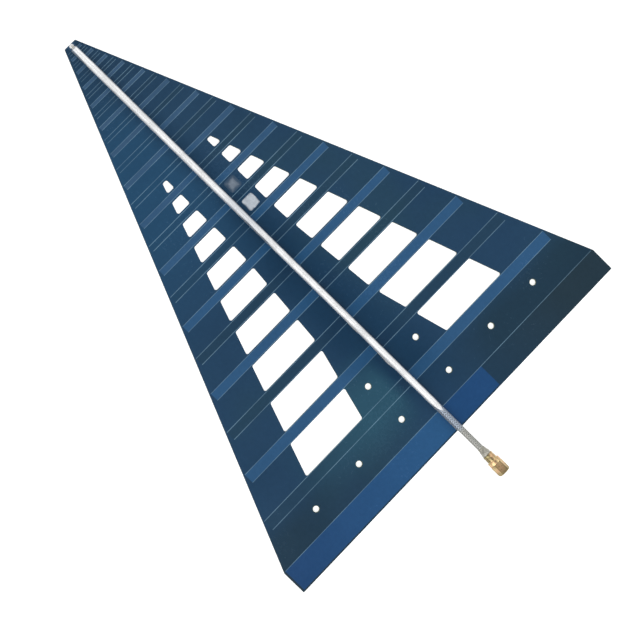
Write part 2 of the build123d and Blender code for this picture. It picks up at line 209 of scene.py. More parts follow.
class Field:
    """A value that varies over a surface; arithmetic on it adds nodes."""

    def __init__(self, wiring: Wiring, socket: Socket) -> None:
        """Keeps a socket and the wiring that it belongs to."""
        self.wiring = wiring
        self.socket = socket

    def maths(self, operation: str, *others: Wire) -> Field:
        """Result of a Math node fed by this value and then the others."""
        return self.wiring.maths(operation, self, *others)

    __add__ = __radd__ = partialmethod(maths, "ADD")
    __mul__ = __rmul__ = partialmethod(maths, "MULTIPLY")
    __sub__ = partialmethod(maths, "SUBTRACT")
    __truediv__ = partialmethod(maths, "DIVIDE")
    __lt__ = partialmethod(maths, "LESS_THAN")
    __gt__ = partialmethod(maths, "GREATER_THAN")
    __abs__ = partialmethod(maths, "ABSOLUTE")
    most = partialmethod(maths, "MAXIMUM")
    least = partialmethod(maths, "MINIMUM")
    sine = partialmethod(maths, "SINE")

    def __rsub__(self, other: float) -> Field:
        """A plain number less this value."""
        return self.wiring.maths("SUBTRACT", other, self)

    def ranged(self, low: Wire, high: Wire, start: float = 0.0, end: float = 1.0, kind: str = "LINEAR") -> Field:
        """This value mapped from the range low to high onto the range start to end."""
        values = dict(enumerate((self, low, high, start, end)))
        return self.wiring.made("MapRange", values, interpolation_type=kind)

    eased = partialmethod(ranged, kind="SMOOTHSTEP")

    def onto(self, start: float, end: float) -> Field:
        """This unevenness, which seldom leaves 0.3 to 0.7, mapped onto the range start to end."""
        return self.ranged(0.3, 0.7, start, end)

    def mix(self, first: Wire, second: Wire) -> Field:
        """Colour that is the first one where this share is 0 and the second where it is 1."""
        values = {MIX_FACTOR: self, MIX_FIRST: first, MIX_SECOND: second}
        return self.wiring.made("Mix", values, MIX_RESULT, data_type="RGBA")

    def grey(self) -> Field:
        """This level as a colour."""
        return self.wiring.made("CombineXYZ", dict.fromkeys(range(3), self))

    def dimmed(self, level: Field) -> Field:
        """This colour times a level."""
        values = {MIX_FACTOR: 1.0, MIX_FIRST: self, MIX_SECOND: level.grey()}
        return self.wiring.made("Mix", values, MIX_RESULT, data_type="RGBA", blend_type="MULTIPLY")

    def parts(self) -> list[Field]:
        """The X, Y and Z of this vector."""
        return self.wiring.outputs("SeparateXYZ", {0: self})

    def stretched(self, scale: Triple, centre: Triple = (0, 0, 0)) -> Field:
        """This vector measured from a centre and scaled along each axis."""
        away = self.wiring.made("VectorMath", {0: self, 1: centre}, operation="SUBTRACT")
        return self.wiring.made("VectorMath", {0: away, 1: scale}, operation="MULTIPLY")

    def cloud(self, scale: Wire, detail: float = 2.0, rough: float = 0.5) -> Field:
        """Fractal noise from 0 to 1 at this vector."""
        return self.wiring.made("TexNoise", {"Vector": self, "Scale": scale, "Detail": detail, "Roughness": rough})

    def bumped(self, strength: float, depth: float) -> Field:
        """Normal of a surface with this relief, whose 1 stands for a depth in metres."""
        return self.wiring.made("Bump", {"Height": self, "Strength": strength, "Distance": depth}, "Normal")

    def effect(self, name: str, **values: Wire) -> list[Field]:
        """Outputs of a shared node group placed at this vector."""
        return self.wiring.outputs("Group", {"Vector": self, **values}, node_tree=bpy.data.node_groups[name])

    def mottle(self, broad: float, fine: float) -> Field:
        """The shared unevenness at this vector."""
        return self.effect("mottle", Broad=broad, Fine=fine)[0]


Wire = Field | float | Triple | Colour
Looks = dict[str, Wire]


class SharedEffect(Wiring):
    """A shader node group under construction."""

    def __init__(self, name: str, takes: tuple[str, ...], gives: tuple[str, ...]) -> None:
        """Starts an empty group.

        Args:
            name: Name of the group.
            takes: Names of its inputs; the one named Vector is a vector, the others are numbers.
            gives: Names of its outputs, all numbers.
        """
        super().__init__(bpy.data.node_groups.new(name, "ShaderNodeTree"))
        for way, titles in (("INPUT", takes), ("OUTPUT", gives)):
            for title in titles:
                kind = "NodeSocketVector" if title == "Vector" else "NodeSocketFloat"
                self.tree.interface.new_socket(name=title, in_out=way, socket_type=kind)
        self.taken = self.outputs("NodeGroupInput")[:len(takes)]
        self.end = self.add("NodeGroupOutput")

    def give(self, **values: Wire) -> None:
        """Feeds the outputs by name."""
        self.feed(self.end, values)


@dataclass(frozen=True)
class DipoleLaw:
    """The rule by which the half dipoles shrink towards the tip."""

    tip_edge: float
    rear_edge: float
    convergence_margin: float = 31.2 * MM
    second_front_distance: float = 49.6 * MM
    ratio: float = 0.9108
    smallest_share: float = 0.001
    tip_margin: float = 2.5 * MM
    small_width: float = 1.5 * MM
    large_width: float = 7.6 * MM
    band_length: float = 17.9 * MM
    band_margin: float = 1.0 * MM
    stub_reach: float = 38.5 * MM
    board_width: float = 290 * MM
    tip_width: float = 9.3 * MM
    rear_strip_length: float = 17.2 * MM
    end_margin: float = 1.1 * MM
    strip_width: float = 5.0 * MM
    fine_line: float = 0.17 * MM
    full_line: float = 0.27 * MM
    fine_lines_length: float = 140 * MM

    @property
    def convergence(self) -> float:
        """Where the elements would shrink to nothing."""
        return self.tip_edge - self.convergence_margin

    @property
    def second_front(self) -> float:
        """Front edge of the second element."""
        return self.rear_edge - self.second_front_distance

    @property
    def slope(self) -> float:
        """How fast the board widens on each side."""
        length = self.rear_edge - self.rear_strip_length - self.tip_edge
        return (self.board_width - self.tip_width) / 2 / length

    def half_board(self, x: Field) -> Field:
        """Half the board's width at x, where it widens."""
        return (x - self.tip_edge) * self.slope + self.tip_width / 2

    def build(self) -> None:
        """Makes the group that tells copper, gaps and copper edges apart by place."""
        effect = SharedEffect("etched_pattern", ("Vector",), ("Upper", "Lower", "Line", "Share", "Rim"))
        x, y, _ = effect.taken[0].parts()
        across = abs(y)
        span = self.second_front - self.convergence
        share = ((x - self.convergence) / span).most(self.smallest_share)
        index = share.maths("LOGARITHM", self.ratio).maths("CEIL")
        shrunk = effect.maths("POWER", self.ratio, index)
        band_front = self.rear_edge - self.band_length
        in_band = x > band_front
        before_band = 1.0 - in_band
        front = in_band * band_front + before_band * (shrunk * span + self.convergence)
        behind = (shrunk * (span / self.ratio) + self.convergence).least(band_front)
        growth = (self.large_width - self.small_width) / (self.second_front - self.tip_edge)
        width = before_band * ((front - self.tip_edge) * growth + self.small_width)
        rear = front + in_band * (self.band_length - self.band_margin) + width
        reach = (self.half_board(front) - self.end_margin).least(self.board_width / 2 - self.band_margin)
        within = across < reach
        real = front > self.tip_edge + self.tip_margin
        along = (x < rear) * real
        element = along * within
        odd = (index + 2.0).maths("MODULO", 2.0).most(in_band)
        other = abs(odd + (y > 0.0) - 1.0)
        on_strip = across < self.strip_width / 2
        shared = (along * (across < self.stub_reach) * in_band).most(on_strip)
        edge = abs(x - front).least(abs(x - rear) + in_band)
        line_end = x.ranged(self.tip_edge, self.tip_edge + self.fine_lines_length, self.fine_line, self.full_line)
        near = edge.eased(0.0, line_end, 1.0, 0.0) * within * real
        next_edge = (behind - x).eased(0.0, line_end, 1.0, 0.0) * before_band
        next_edge *= across < self.half_board(behind) - self.end_margin
        half = self.half_board(x)
        rim = (half.least(self.board_width / 2) - across).least(self.rear_edge - x)
        effect.give(Upper=(element * (1.0 - other)).most(shared), Lower=(element * other).most(shared),
                    Line=near.most(next_edge) * (1.0 - on_strip), Share=across / half, Rim=rim)


class SharedEffects:
    """Builds the effects that more than one finish uses."""

    SCRATCH_WAYS = ((35, 60.0), (-62, 45.0))

    @staticmethod
    def mottle() -> None:
        """Broad and fine unevenness of colour and gloss, centred on 0.5."""
        effect = SharedEffect("mottle", ("Vector", "Broad", "Fine"), ("Value",))
        place, broad, fine = effect.taken
        effect.give(Value=place.cloud(broad, 3.0) * 0.6 + place.cloud(fine, 4.0, 0.65) * 0.4)

    @classmethod
    def scratches(cls) -> None:
        """Fine hairlines in two directions, 1 on a line."""
        effect = SharedEffect("scratches", ("Vector", "Scale"), ("Mask",))
        place, scale = effect.taken
        lines = []
        for degrees, stretch in cls.SCRATCH_WAYS:
            values = {"Vector": place, "Angle": math.radians(degrees)}
            long = effect.made("VectorRotate", values, rotation_type="Z_AXIS").stretched((1.0, stretch, 1.0))
            lines.append(long.cloud(scale, 1.0).ranged(0.70, 0.78))
        effect.give(Mask=lines[0].most(lines[1]))

    @staticmethod
    def turned_marks() -> None:
        """Fine rings that a lathe leaves along the cable's axis."""
        effect = SharedEffect("turned_marks", ("Vector", "Pitch"), ("Height",))
        place, pitch = effect.taken
        ring = (place.parts()[0] / pitch * FULL_TURN).sine()
        effect.give(Height=ring * 0.2 + place.stretched((9000.0, 60.0, 60.0)).cloud(1.0, 3.0, 0.7))

    @staticmethod
    def glass_cloth() -> None:
        """Woven relief of the glass cloth in the laminate, 0 to 1."""
        effect = SharedEffect("glass_cloth", ("Vector", "Pitch"), ("Height",))
        place, pitch = effect.taken
        warp, weft = ((axis / pitch * FULL_TURN).sine() for axis in place.parts()[:2])
        effect.give(Height=(warp * weft).ranged(-1.0, 1.0))

    @classmethod
    def build(cls) -> None:
        """Makes every shared effect once."""
        for make in (cls.mottle, cls.scratches, cls.turned_marks, cls.glass_cloth):
            make()


def emptied(data: bpy.types.Material | bpy.types.World) -> Wiring:
    """Clears the node tree of a new material or world.

    Args:
        data: The material or world.

    Returns:
        Wiring of its tree.
    """
    data.use_nodes = True
    data.node_tree.nodes.clear()
    return Wiring(data.node_tree)


@dataclass(frozen=True)
class Finish:
    """A surface finish; each kind says what feeds its shader."""

    name: str

    def material(self) -> bpy.types.Material:
        """Makes the material.

        Returns:
            The finished material.
        """
        made = bpy.data.materials.new(self.name)
        w = emptied(made)
        w.add("OutputMaterial", {"Surface": w.made("BsdfPrincipled", self.looks(w.place()))})
        return made

    def looks(self, place: Field) -> Looks:
        """Says what feeds the Principled shader.

        Args:
            place: The shaded point in the part's frame.

        Returns:
            Plain values and fields, by the names of the shader's inputs.
        """
        raise NotImplementedError


@dataclass(frozen=True)
class BlueLacquer(Finish):
    """Glossy blue lacquer, paler over the copper of its own face and at the copper's edges, where painted backlight
    adds to the thin film's paleness.
    """

    face: Face = Face.UPPER
    over_gap: Colour = paint(29, 62, 91)
    # Painted shade of the cable: gap, copper and far copper colours in its shade.
    gap_in_cable_shade: Colour = paint(13, 51, 79)
    gap_at_tip: Colour = paint(25, 57, 83)
    # Painted sheen: paler gaps on the right towards the tip.
    sheen_towards_tip: Colour = paint(29, 71, 103)
    green_by_holes: Colour = paint(37, 78, 98)
    greenish: Colour = paint(33, 66, 80)
    over_near_copper: Colour = paint(42, 84, 123)
    copper_in_cable_shade: Colour = paint(28, 73, 111)
    copper_at_tip: Colour = paint(53, 84, 114)
    rear_copper: Colour = paint(36, 84, 128)
    rear_copper_outside: Colour = paint(25, 65, 110)
    # Painted shade: rear copper darker on the left.
    rear_copper_shaded_left: Colour = paint(25, 70, 117)
    over_far_copper: Colour = paint(30, 61, 85)
    far_copper_in_cable_shade: Colour = paint(14, 49, 76)
    rear_far_copper: Colour = paint(31, 52, 65)
    rear_far_by_cable: Colour = paint(25, 56, 80)
    rear_corner: Colour = paint(24, 50, 66)
    # Pale copper-edge lines: thin lacquer, partly painted backlight through the board.
    line: Colour = paint(118, 152, 174)
    # Wear and a painted halo of light at the rim.
    chipped_and_halo: Colour = paint(86, 112, 118)
    rear_band: float = 28.4 * MM
    gloss: float = 0.2
    film_level: float = 0.3
    cloth_pitch: float = 1.1 * MM

    def looks(self, place: Field) -> Looks:
        """Says how the film looks over the etched pattern.

        Args:
            place: The shaded point.

        Returns:
            What feeds the shader.
        """
        near, far, line, share, rim = place.effect("etched_pattern")
        if self.face is Face.LOWER:
            near, far = far, near
        spread = place.mottle(14.0, 420.0)
        colour = near.mix(self.away_from_copper(place, far, share), self.over_copper(place, share))
        # Pale lines at the copper's edges of both faces: thin lacquer there, partly painted backlight shining
        # through the board.
        lit = place.cloud(55.0).ranged(0.35, 0.65, 0.55, 1.0)
        colour = (line * lit).mix(colour, self.line)
        # Paler lacquer at the board's rim: partly wear, partly a painted halo of light.
        worn = rim.eased(0.1 * MM, 0.55 * MM, 0.8, 0.0) * place.cloud(500.0).ranged(0.5, 0.64)
        colour = worn.mix(colour, self.chipped_and_halo).dimmed(spread.onto(0.87, 1.13))
        hairlines = place.effect("scratches", Scale=22.0)[0]
        rough = worn * 0.3 + spread.onto(self.gloss, self.gloss + 0.1)
        cloth = place.effect("glass_cloth", Pitch=self.cloth_pitch)[0]
        return {"Base Color": colour, "Roughness": hairlines * 0.015 + rough, "Specular IOR Level": self.film_level,
                "Normal": (cloth * 0.25 + place.cloud(420.0)).bumped(0.14, 0.01 * MM)}

    def cable_shade(self, place: Field, share: Field) -> Field:
        """Mask of the painted shade of the cable on the lacquer beside it, weak at both ends of the board.

        Args:
            place: The shaded point.
            share: Distance from the centre line as a share of half the board's width.

        Returns:
            The mask.
        """
        x = place.parts()[0]
        lengthways = x.ranged(-240 * MM, -150 * MM, 0.3, 1.0) * x.ranged(-5 * MM, 28 * MM, 1.0, 0.0)
        return share.eased(0.06, 0.32, 1.0, 0.0) * lengthways

    def over_copper(self, place: Field, share: Field) -> Field:
        """Colour over the copper of the lacquer's own face.

        Args:
            place: The shaded point.
            share: Distance from the centre line as a share of half the board's width.

        Returns:
            The colour.
        """
        x, y, _ = place.parts()
        over = x.ranged(-130 * MM, -240 * MM).mix(self.over_near_copper, self.copper_at_tip)
        # Painted shade of the cable darkens the copper beside it.
        over = self.cable_shade(place, share).mix(over, self.copper_in_cable_shade)
        # Painted shade: the rear copper is darker on the left side.
        rear_blue = (y > 0.0).mix(self.rear_copper, self.rear_copper_shaded_left)
        return (x > self.rear_band).mix(over, share.mix(rear_blue, self.rear_copper_outside))

    def away_from_copper(self, place: Field, far: Field, share: Field) -> Field:
        """Colour over bare laminate and over the other face's copper.

        Args:
            place: The shaded point.
            far: 1 where there is copper on the other face.
            share: Distance from the centre line as a share of half the board's width.

        Returns:
            The colour.
        """
        x, y, _ = place.parts()
        tinge = place.cloud(11.0).eased(0.45, 0.7, 0.0, 0.5) * x.ranged(-210 * MM, -150 * MM, 0.2, 1.0)
        gap = tinge.mix(self.over_gap, self.greenish)
        under = tinge.mix(self.over_far_copper, self.greenish)
        # Painted shade of the cable darkens the gaps and far copper beside it.
        cable_shade = self.cable_shade(place, share)
        gap = cable_shade.mix(gap, self.gap_in_cable_shade)
        under = cable_shade.mix(under, self.far_copper_in_cable_shade)
        # Painted sheen: paler lacquer on the right towards the tip.
        paler = x.ranged(-110 * MM, -190 * MM, 0.0, 0.9) * y.ranged(8 * MM, -12 * MM)
        at_tip = x.ranged(-235 * MM, -270 * MM, 0.0, 0.8)
        outward = (y * 2.0).most(y * -1.0)
        corner = x.eased(-8 * MM, 16 * MM) * outward.ranged(25 * MM, 120 * MM, 0.0, 0.8)
        green = (x.ranged(-40 * MM, -12 * MM) * x.ranged(24 * MM, 4 * MM)
                 * y.ranged(-6 * MM, -15 * MM, 0.0, 0.9) * y.ranged(-100 * MM, -40 * MM))
        rear_dark = share.ranged(0.15, 0.75).mix(self.rear_far_by_cable, self.rear_far_copper)
        layers = ((paler, self.sheen_towards_tip), (at_tip, self.gap_at_tip), (corner, self.rear_corner),
                  (green, self.green_by_holes), (x > self.rear_band, rear_dark))
        for mask, colour in layers:
            gap = mask.mix(gap, colour)
            if mask is not corner:
                under = mask.mix(under, colour)
        return far.mix(gap, under)


@dataclass(frozen=True)
class CutLaminate(Finish):
    """Glass-epoxy laminate: plies show as streaks on its milled edges."""

    resin: Colour = paint(74, 86, 62)
    glass: Colour = paint(140, 148, 112)
    ply: float = 0.2 * MM
    cloth_pitch: float = 1.1 * MM

    def looks(self, place: Field) -> Looks:
        """Says how plies, frayed fibres and the cloth's weave look.

        Args:
            place: The shaded point.

        Returns:
            What feeds the shader.
        """
        plies = (place.parts()[2] / self.ply * FULL_TURN).sine().ranged(-1.0, 1.0)
        frayed = place.stretched((900.0, 900.0, 9000.0)).cloud(1.0, 3.0, 0.6)
        share = plies * frayed.ranged(0.35, 0.65, 0.2, 1.0)
        cloth = place.effect("glass_cloth", Pitch=self.cloth_pitch)[0]
        return {"Base Color": share.mix(self.resin, self.glass), "Roughness": frayed.onto(0.55, 0.8),
                "Normal": (cloth * 0.3 + frayed).bumped(0.6, 0.03 * MM)}


@dataclass(frozen=True)
class EtchedCopper(Finish):
    """Etched copper, tinned where the lacquer leaves the centre strip bare."""

    copper: Colour = paint(206, 128, 92)
    tin: Colour = paint(206, 206, 200)
    stain: Colour = paint(120, 112, 98)
    bare_half_width: float = 2.3 * MM

    def looks(self, place: Field) -> Looks:
        """Says how the bare strip and its stains look.

        Args:
            place: The shaded point.

        Returns:
            What feeds the shader.
        """
        bare = abs(place.parts()[1]) < self.bare_half_width
        spread = place.mottle(160.0, 1500.0)
        colour = spread.ranged(0.35, 0.65, 0.3, 0.0).mix(bare.mix(self.copper, self.tin), self.stain)
        return {"Base Color": colour, "Roughness": spread.onto(0.42, 0.26), "Metallic": 1.0,
                "Normal": spread.bumped(0.3, 0.02 * MM)}


@dataclass(frozen=True)
class BrightSolder(Finish):
    """Tin solder: bright, with frosted patches and fine grain; painted shade and a painted reflection of the blue
    board darken its lower flanks, more on the left.
    """

    bright: Colour = paint(248, 249, 250)
    dull: Colour = paint(228, 229, 230)
    # Painted shade and painted board reflection on the lower flanks.
    flank_shade: Colour = paint(76, 88, 102)
    soiled: Colour = paint(204, 208, 214)
    flank_shade_start: tuple[float, float] = (1.1 * MM, 1.8 * MM)
    flank_shade_end: float = 2.2 * MM
    soiled_middle: float = -150 * MM
    polish: float = 0.4
    metal: tuple[float, float] = (0.3, 0.45)

    def looks(self, place: Field) -> Looks:
        """Says how frost, flux stains and grain look.

        Args:
            place: The shaded point.

        Returns:
            Says how frost, stains, grain and the painted shade on the flanks look.
        """
        spread = place.stretched((0.5, 1.0, 1.0)).mottle(260.0, 2600.0)
        frost = spread.eased(0.42, 0.6)
        x, y, _ = place.parts()
        soiling = abs(x - self.soiled_middle).eased(8 * MM, 24 * MM, 0.9, 0.0) * spread.ranged(0.3, 0.6, 1.0, 0.6)
        colour = soiling.mix(frost.mix(self.bright, self.dull), self.soiled)
        # Painted shade and painted reflection of the board on the lower flanks, stronger on the left.
        left_start, right_start = self.flank_shade_start
        left = y.ranged(left_start, self.flank_shade_end, 0.0, 0.9)
        right = y.ranged(-right_start, -self.flank_shade_end - 0.5 * MM, 0.0, 0.5)
        flank_shade = left.most(right) * place.cloud(160.0).ranged(0.3, 0.6, 1.0, 0.65)
        return {"Base Color": flank_shade.mix(colour, self.flank_shade),
                "Roughness": frost.ranged(0.0, 1.0, self.polish, self.polish + 0.22),
                "Metallic": frost.ranged(0.0, 1.0, *self.metal),
                "Normal": place.cloud(5200.0, 3.0, 0.7).bumped(0.35, 0.02 * MM)}


@dataclass(frozen=True)
class TinnedBraid(Finish):
    """Tinned copper braid, darker between its wires and tinted by a painted reflection of the blue board where it
    lies on it; carriers add a woven relief.
    """

    wire_colour: Colour = paint(184, 185, 180)
    # Painted reflection of the blue board.
    reflected_board_blue: Colour = paint(172, 184, 200)
    hollow_colour: Colour = paint(92, 92, 90)
    copper: Colour = paint(170, 146, 126)
    board_end: float = 0.0
    axis_height: float = 0.0
    edge_blur: float = 2 * MM
    hollow_radius: float = 2.0 * MM
    crown_radius: float = 2.12 * MM
    carriers: int = 0
    lay_length: float = 19 * MM

    def looks(self, place: Field) -> Looks:
        """Says how the depth between the wires and the stains look.

        Args:
            place: The shaded point.

        Returns:
            What feeds the shader.
        """
        x, y, z = place.parts()
        rise = z - self.axis_height
        depth = (y * y + rise * rise).maths("SQRT").eased(self.hollow_radius, self.crown_radius)
        spread = place.mottle(420.0, 3000.0)
        # Painted reflection of the blue board tints the braid on the board.
        off_board = x.ranged(self.board_end - self.edge_blur, self.board_end + self.edge_blur)
        colour = off_board.mix(self.reflected_board_blue, self.wire_colour)
        colour = spread.ranged(0.55, 0.68, 0.0, 0.3).mix(colour, self.copper)
        relief, height = place.cloud(9000.0), 0.01 * MM
        if self.carriers:
            angle = y.maths("ARCTAN2", rise)
            lead = x * (FULL_TURN / self.lay_length)
            one_way, other_way = ((turn * float(self.carriers)).sine() for turn in (angle + lead, angle - lead))
            woven = one_way * other_way
            relief, height = relief * 0.2 + woven, 0.05 * MM
            colour = woven.ranged(-0.1, -0.9, 0.0, 0.3).mix(colour, self.hollow_colour)
        return {"Base Color": depth.mix(self.hollow_colour, colour), "Metallic": 0.7,
                "Roughness": spread.onto(0.62, 0.46), "Normal": relief.bumped(0.3, height)}


@dataclass(frozen=True)
class GoldPlate(Finish):
    """Gilded brass with lathe rings, stains and a warm tarnish; painted shade darkens its right side and a nut's
    hexagon corners where set.
    """

    gold: Colour = paint(228, 202, 152)
    rose: Colour = paint(226, 184, 142)
    tarnish: Colour = paint(132, 124, 86)
    # Painted shade on the hexagon's corners.
    corner_shade_colour: Colour = paint(92, 76, 40)
    metal: float = 0.86
    clean: float = 0.5
    dull_from: float = 0.0
    dull_to: float = 1.0
    dull_share: float = 0.6
    most_dull: float = 0.95
    # Painted shade: extra tarnish on the right side.
    right_side_shade: float = 0.0
    facets: int = 0
    axis_height: float = 0.0
    corner_shade: float = 0.8
    pitch: float = 0.12 * MM
    polish: float = 0.2

    def looks(self, place: Field) -> Looks:
        """Says how tarnish, hairlines and turning marks look.

        Args:
            place: The shaded point.

        Returns:
            What feeds the shader.
        """
        spread = place.mottle(210.0, 800.0)
        x, y, z = place.parts()
        dull = x.eased(self.dull_from, self.dull_to, self.dull_share, 0.0)
        # Painted shade: more tarnish on the right side, less on the left.
        if self.right_side_shade:
            dull *= y.eased(-1.0 * MM, 0.4 * MM, 1.0 + self.right_side_shade, 1.0 - self.right_side_shade)
        dull = (dull * spread.ranged(0.36, 0.56, 0.55, 1.3)).least(self.most_dull)
        stained = spread.eased(self.clean - 0.02, self.clean + 0.2, 0.0, 0.75).most(dull)
        colour = place.cloud(320.0).eased(0.4, 0.62).mix(self.gold, self.rose)
        colour = stained.mix(colour, self.tarnish)
        # Painted shade: dark lines along the hexagon's corners.
        if self.facets:
            facet = FULL_TURN / self.facets
            angle = y.maths("ARCTAN2", z - self.axis_height)
            off_middle = abs(angle.maths("WRAP", facet / 2, -facet / 2))
            on_edge = off_middle.eased(0.38 * facet, 0.48 * facet, 0.0, self.corner_shade)
            colour = on_edge.mix(colour, self.corner_shade_colour)
        rough = spread.onto(self.polish, self.polish + 0.16)
        return {"Base Color": colour, "Roughness": place.effect("scratches", Scale=260.0)[0] * 0.15 + rough,
                "Metallic": self.metal,
                "Normal": place.effect("turned_marks", Pitch=self.pitch)[0].bumped(0.35, 0.008 * MM)}


@dataclass(frozen=True)
class SpringWire(Finish):
    """Drawn metal: silvered core wire or spring bronze."""

    metal: Colour = paint(222, 220, 210)
    dull: Colour = paint(150, 144, 130)

    def looks(self, place: Field) -> Looks:
        """Says how drawing marks and tarnish look.

        Args:
            place: The shaded point.

        Returns:
            What feeds the shader.
        """
        drawn = place.stretched((300.0, 6000.0, 6000.0)).cloud(1.0, 3.0)
        return {"Base Color": drawn.ranged(0.4, 0.7).mix(self.metal, self.dull), "Metallic": 1.0,
                "Roughness": drawn.onto(0.2, 0.36), "Normal": drawn.bumped(0.3, 0.01 * MM)}


@dataclass(frozen=True)
class SoftWhite(Finish):
    """White fluoropolymer, waxy and slightly see-through."""

    white: Colour = paint(236, 235, 228)
    soiled: Colour = paint(206, 198, 180)
    glow: float = 0.25
    glow_depth: Triple = (0.4 * MM, 0.4 * MM, 0.35 * MM)
    pitch: float = 0.2 * MM

    def looks(self, place: Field) -> Looks:
        """Says how cutting marks and flux stains look.

        Args:
            place: The shaded point.

        Returns:
            What feeds the shader.
        """
        spread = place.mottle(500.0, 2400.0)
        return {"Base Color": spread.ranged(0.45, 0.7, 0.0, 0.6).mix(self.white, self.soiled),
                "Roughness": spread.onto(0.42, 0.6), "Subsurface Weight": self.glow,
                "Subsurface Radius": self.glow_depth,
                "Normal": place.effect("turned_marks", Pitch=self.pitch)[0].bumped(0.25, 0.01 * MM)}


@dataclass(frozen=True)
class SealRubber(Finish):
    """Brick-red silicone rubber with a dusty bloom."""

    rubber: Colour = paint(158, 58, 42)
    bloom: Colour = paint(188, 110, 96)

    def looks(self, place: Field) -> Looks:
        """Says how bloom and moulded grain look.

        Args:
            place: The shaded point.

        Returns:
            What feeds the shader.
        """
        spread = place.mottle(700.0, 4000.0)
        return {"Base Color": spread.ranged(0.45, 0.7, 0.0, 0.5).mix(self.rubber, self.bloom),
                "Roughness": spread.onto(0.6, 0.75),
                "Normal": place.cloud(6000.0).bumped(0.4, 0.01 * MM)}


@dataclass(frozen=True)
class WornPrint(Finish):
    """Pale print, cloudy and worn down to the lacquer at its rim; wear is strength, size, solid_to, gone_at."""

    ink: Colour = paint(186, 194, 203)
    bare: Colour = paint(36, 66, 92)
    centres: tuple[tuple[float, float], ...] = ()
    reach: float = 4.6 * MM
    wear: Rows = ((1.0, 1.0, 0.34, 0.62), (0.34, 0.88, -0.15, 0.55))

    def blot(self, place: Field, centre: tuple[float, float], wear: Quad) -> Field:
        """Mask of the ink that is left on one patch.

        Args:
            place: The shaded point.
            centre: The patch's centre.
            wear: How the patch is worn.

        Returns:
            The mask.
        """
        strength, size, solid_to, gone_at = wear
        scale = 1 / (self.reach * size)
        dx, dy, _ = place.stretched((scale, scale, 0.0), (*centre, 0.0)).parts()
        away = self.cloudy(place) * -0.9 + abs(dx).most(abs(dy))
        return away.eased(solid_to, gone_at, strength, 0.0) * (abs(dx) < 1.5)

    def cloudy(self, place: Field) -> Field:
        """Unevenness of the ink."""
        return place.mottle(260.0, 900.0)

    def looks(self, place: Field) -> Looks:
        """Says how the ink wears towards each patch's rim.

        Args:
            place: The shaded point.

        Returns:
            What feeds the shader.
        """
        cloudy = self.cloudy(place)
        first, second = (self.blot(place, centre, wear) for centre, wear in zip(self.centres, self.wear))
        kept = first.most(second) * cloudy.ranged(0.34, 0.6, 0.7, 1.05)
        return {"Base Color": kept.mix(self.bare, self.ink), "Roughness": cloudy.onto(0.5, 0.35),
                "Normal": cloudy.bumped(0.3, 0.01 * MM)}


def placed(name: str, data: bpy.types.ID) -> Piece:
    """Makes an object and links it to the scene.

    Args:
        name: Name of the object.
        data: Its mesh, lamp or camera.

    Returns:
        The object, at the origin.
    """
    thing = bpy.data.objects.new(name, data)
    bpy.context.scene.collection.objects.link(thing)
    return thing


def settled(bm: bmesh.types.BMesh, name: str, crease_degrees: float = 35) -> Piece:
    """Turns a finished bmesh into an object at the origin with soft shading.

    Args:
        bm: The shape; it is merged, turned outwards and freed.
        name: Name of the piece.
        crease_degrees: Edges sharper than this stay crisp.

    Returns:
        The new object.
    """
    bmesh.ops.remove_doubles(bm, verts=bm.verts, dist=1e-7)
    bmesh.ops.recalc_face_normals(bm, faces=bm.faces)
    mesh = bpy.data.meshes.new(name)
    bm.to_mesh(mesh)
    bm.free()
    mesh.shade_smooth()
    mesh.set_sharp_from_angle(angle=math.radians(crease_degrees))
    return placed(name, mesh)


def rolled(bm: bmesh.types.BMesh, along: int, around_it: int, place: Placer) -> None:
    """Rolls a flat grid up into a tube and closes its ends.

    Args:
        bm: Where the tube goes; what is there already is left alone.
        along: Faces along the tube.
        around_it: Faces round it.
        place: Gives the point for a share along and a share around, both 0 to 1.
    """
    made = bmesh.ops.create_grid(bm, x_segments=along, y_segments=around_it, size=1.0)["verts"]
    for vertex in made:
        vertex.co = place((vertex.co.x + 1) / 2, (vertex.co.y + 1) / 2)
    bmesh.ops.remove_doubles(bm, verts=made, dist=1e-8)
    rims = [edge for edge in bm.edges if edge.is_boundary]
    bmesh.ops.holes_fill(bm, edges=rims, sides=0)


def turned(name: str, axis_height: float, points: Profile, rounding: float = 0.0, steps: int = 96) -> Piece:
    """Turns a closed profile about the cable's axis.

    Args:
        name: Name of the piece.
        axis_height: Height of the cable's axis.
        points: Places along the axis and radii, round the profile.
        rounding: Width of the rounding on the profile's corners.
        steps: Faces round the axis.

    Returns:
        The turned piece.
    """
    bm = bmesh.new()
    corners = [bm.verts.new((x, 0.0, axis_height + radius)) for x, radius in points]
    edges = [bm.edges.new((corner, corners[(n + 1) % len(corners)])) for n, corner in enumerate(corners)
             if points[n][1] or points[(n + 1) % len(points)][1]]
    if rounding:
        kept = [c for c in corners if c.co.z - axis_height > rounding]
        bmesh.ops.bevel(bm, geom=kept, offset=rounding, offset_type="OFFSET", affect="VERTICES",
                        segments=3, profile=0.5, material=-1, clamp_overlap=True)
        edges = list(bm.edges)
    bmesh.ops.spin(bm, geom=list(bm.verts) + edges, cent=(0, 0, axis_height), axis=ABOUT_X,
                   angle=FULL_TURN, steps=steps, use_merge=True)
    return settled(bm, name)


def dress(piece: Piece, finish: Finish) -> None:
    """Puts one finish on every slot of a piece.

    Args:
        piece: The piece.
        finish: Its finish.
    """
    material = finish.material()
    if not piece.material_slots:
        piece.data.materials.append(material)
    for slot in piece.material_slots:
        slot.material = material
    log.info("%s is dressed in %s", piece.name, material.name)


